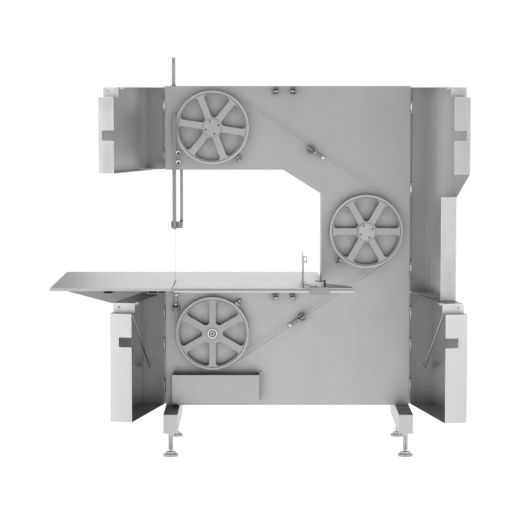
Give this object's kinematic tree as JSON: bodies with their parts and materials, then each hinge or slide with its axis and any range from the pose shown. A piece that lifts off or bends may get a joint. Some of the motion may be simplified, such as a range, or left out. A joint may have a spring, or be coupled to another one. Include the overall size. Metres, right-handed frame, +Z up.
{
  "type": "bone saw",
  "caption": "Standing three-wheel band saw for bone and frozen meat, with a C frame, hinged doors, steel table, portion gauge and scrap tray.",
  "frame": {"origin": "centre of the outline at the floor, doors open", "axes": "+Z up, +X to the right along the front of the saw, +Y from the front to the back"},
  "size_m": [2.1834, 1.1741, 2.131],
  "materials": {
    "plate_steel": "fine satin brushed stainless sheet",
    "casing_steel": "satin brushed stainless sheet",
    "door_steel": "satin brushed stainless sheet, vertical grain",
    "table_steel": "bright ground stainless sheet",
    "wheel_metal": "plated and machined casting",
    "cap_steel": "turned stainless",
    "axle_steel": "turned steel",
    "blade_steel": "bright carbon steel band",
    "beam_steel": "satin stainless tube",
    "foot_steel": "turned stainless",
    "rail_chrome": "polished round bar",
    "guide_steel": "satin stainless",
    "fastener_steel": "bright stainless screws",
    "tray_steel": "bright pressed stainless",
    "motor_paint": "grey machine enamel",
    "knob_black": "moulded black plastic",
    "scraper_plastic": "white wear plastic",
    "box_steel": "satin stainless",
    "button_green": "moulded green plastic",
    "button_black": "moulded black plastic",
    "button_red": "moulded red plastic",
    "gland_plastic": "black polyamide",
    "carbide": "ground hard metal"
  },
  "bodies": {
    "machine": {"back_plate": "plate_steel", "rear_casing": "casing_steel", "rear_covers": "casing_steel", "cover_screws": "fastener_steel", "base_beams": "beam_steel", "foot_pads": "foot_steel", "foot_stems": "foot_steel", "work_table": "table_steel", "table_insert": "table_steel", "table_supports": "beam_steel", "gauge_rail": "rail_chrome", "saw_blade": "blade_steel", "drive_motor": "motor_paint", "middle_axle": "axle_steel", "tension_frame": "guide_steel", "spring_washers": "axle_steel", "post_clamp": "guide_steel", "lower_guide": "guide_steel", "wheel_scrapers": "scraper_plastic", "blade_scrapers": "scraper_plastic", "tray_rails": "casing_steel", "bolt_keepers": "guide_steel", "hinge_posts": "guide_steel", "control_box": "box_steel", "cable_gland": "gland_plastic"},
    "drive_wheel_set": {"drive_wheel": "wheel_metal", "drive_shaft": "axle_steel", "shaft_lock_ring": "cap_steel"},
    "middle_wheel_set": {"middle_wheel": "wheel_metal", "middle_bearings": "axle_steel", "middle_hub_cap": "cap_steel"},
    "upper_wheel_set": {"upper_wheel": "wheel_metal", "upper_bearings": "axle_steel", "upper_hub_cap": "cap_steel"},
    "tension_slide": {"tension_carriage": "guide_steel", "upper_axle": "axle_steel"},
    "tension_screw": {"tension_spindle": "axle_steel", "tension_handwheel": "knob_black"},
    "upper_left_door": {"upper_left_door": "door_steel"},
    "upper_right_door": {"upper_right_door": "door_steel"},
    "lower_left_door": {"lower_left_door": "door_steel", "left_door_brace": "rail_chrome"},
    "lower_right_door": {"lower_right_door": "door_steel", "right_door_brace": "rail_chrome"},
    "upper_left_bolt": {"upper_left_bolt": "fastener_steel"},
    "upper_right_bolt": {"upper_right_bolt": "fastener_steel"},
    "lower_left_bolt": {"lower_left_bolt": "fastener_steel"},
    "lower_right_bolt": {"lower_right_bolt": "fastener_steel"},
    "gauge": {"gauge_carriage": "guide_steel", "gauge_plate": "guide_steel"},
    "gauge_lock": {"gauge_lock": "knob_black"},
    "blade_guide": {"guide_rods": "rail_chrome", "guide_block": "guide_steel", "guide_jaws": "carbide", "blade_guard": "guide_steel"},
    "guide_knob": {"guide_knob": "knob_black"},
    "scrap_tray": {"scrap_tray": "tray_steel"},
    "start_button": {"start_button": "button_green"},
    "stop_button": {"stop_button": "button_black"},
    "emergency_stop": {"emergency_stop": "button_red"}
  },
  "joints": [
    {"name": "drive_wheel_spin", "type": "hinge", "parent": "machine", "child": "drive_wheel_set", "pos_m": [-0.2497, 0.092, 0.63], "axis": [0, 1, 0], "continuous": true},
    {"name": "middle_wheel_spin", "type": "hinge", "parent": "machine", "child": "middle_wheel_set", "pos_m": [0.5883, 0.092, 1.188], "axis": [0, 1, 0], "continuous": true},
    {"name": "wheel_tension", "type": "slide", "parent": "machine", "child": "tension_slide", "axis": [0, 0, 1], "range_m": [-0.008, 0]},
    {"name": "upper_wheel_spin", "type": "hinge", "parent": "tension_slide", "child": "upper_wheel_set", "pos_m": [-0.2497, 0.092, 1.753], "axis": [0, 1, 0], "continuous": true},
    {"name": "tension_screw_turn", "type": "hinge", "parent": "machine", "child": "tension_screw", "pos_m": [-0.2497, 0.318, 1.54], "axis": [0, 0, 1], "range_deg": [0, 720]},
    {"name": "upper_left_door_swing", "type": "hinge", "parent": "machine", "child": "upper_left_door", "pos_m": [-0.5147, 0.092, 1.748], "axis": [0, 0, 1], "range_deg": [0, 110.4]},
    {"name": "upper_right_door_swing", "type": "hinge", "parent": "machine", "child": "upper_right_door", "pos_m": [0.8353, 0.092, 1.411], "axis": [0, 0, 1], "range_deg": [-104.4, 0]},
    {"name": "lower_left_door_swing", "type": "hinge", "parent": "machine", "child": "lower_left_door", "pos_m": [-0.5147, 0.092, 0.548], "axis": [0, 0, 1], "range_deg": [0, 102.3]},
    {"name": "lower_right_door_swing", "type": "hinge", "parent": "machine", "child": "lower_right_door", "pos_m": [0.8353, 0.092, 0.548], "axis": [0, 0, 1], "range_deg": [-101, 0]},
    {"name": "upper_left_bolt_slide", "type": "slide", "parent": "machine", "child": "upper_left_bolt", "axis": [-1, 0, 0], "range_m": [0, 0.01]},
    {"name": "upper_right_bolt_slide", "type": "slide", "parent": "machine", "child": "upper_right_bolt", "axis": [1, 0, 0], "range_m": [0, 0.01]},
    {"name": "lower_left_bolt_slide", "type": "slide", "parent": "machine", "child": "lower_left_bolt", "axis": [-1, 0, 0], "range_m": [0, 0.01]},
    {"name": "lower_right_bolt_slide", "type": "slide", "parent": "machine", "child": "lower_right_bolt", "axis": [1, 0, 0], "range_m": [0, 0.01]},
    {"name": "gauge_travel", "type": "slide", "parent": "machine", "child": "gauge", "axis": [1, 0, 0], "range_m": [-0.63, 0.09]},
    {"name": "gauge_lock_turn", "type": "hinge", "parent": "gauge", "child": "gauge_lock", "pos_m": [0.3483, -0.44, 0.95], "axis": [0, 0, 1], "range_deg": [0, 90]},
    {"name": "guide_height", "type": "slide", "parent": "machine", "child": "blade_guide", "axis": [0, 0, 1], "range_m": [-0.27, 0.14]},
    {"name": "guide_knob_turn", "type": "hinge", "parent": "machine", "child": "guide_knob", "pos_m": [-0.5297, 0.126, 1.69], "axis": [1, 0, 0], "range_deg": [0, 180]},
    {"name": "tray_pull", "type": "slide", "parent": "machine", "child": "scrap_tray", "axis": [0, -1, 0], "range_m": [0, 0.3]},
    {"name": "start_button_press", "type": "slide", "parent": "machine", "child": "start_button", "axis": [0, 1, 0], "range_m": [0, 0.004], "stiffness_N_per_m": 600},
    {"name": "stop_button_press", "type": "slide", "parent": "machine", "child": "stop_button", "axis": [0, 1, 0], "range_m": [0, 0.004], "stiffness_N_per_m": 600},
    {"name": "emergency_stop_press", "type": "slide", "parent": "machine", "child": "emergency_stop", "axis": [0, 1, 0], "range_m": [0, 0.006], "stiffness_N_per_m": 900}
  ],
  "couplings": [
    {"joint": "middle_wheel_spin", "follows": "drive_wheel_spin", "ratio": 1},
    {"joint": "upper_wheel_spin", "follows": "drive_wheel_spin", "ratio": 1},
    {"joint": "tension_screw_turn", "follows": "wheel_tension", "rad_per_m": -1570.8}
  ]
}
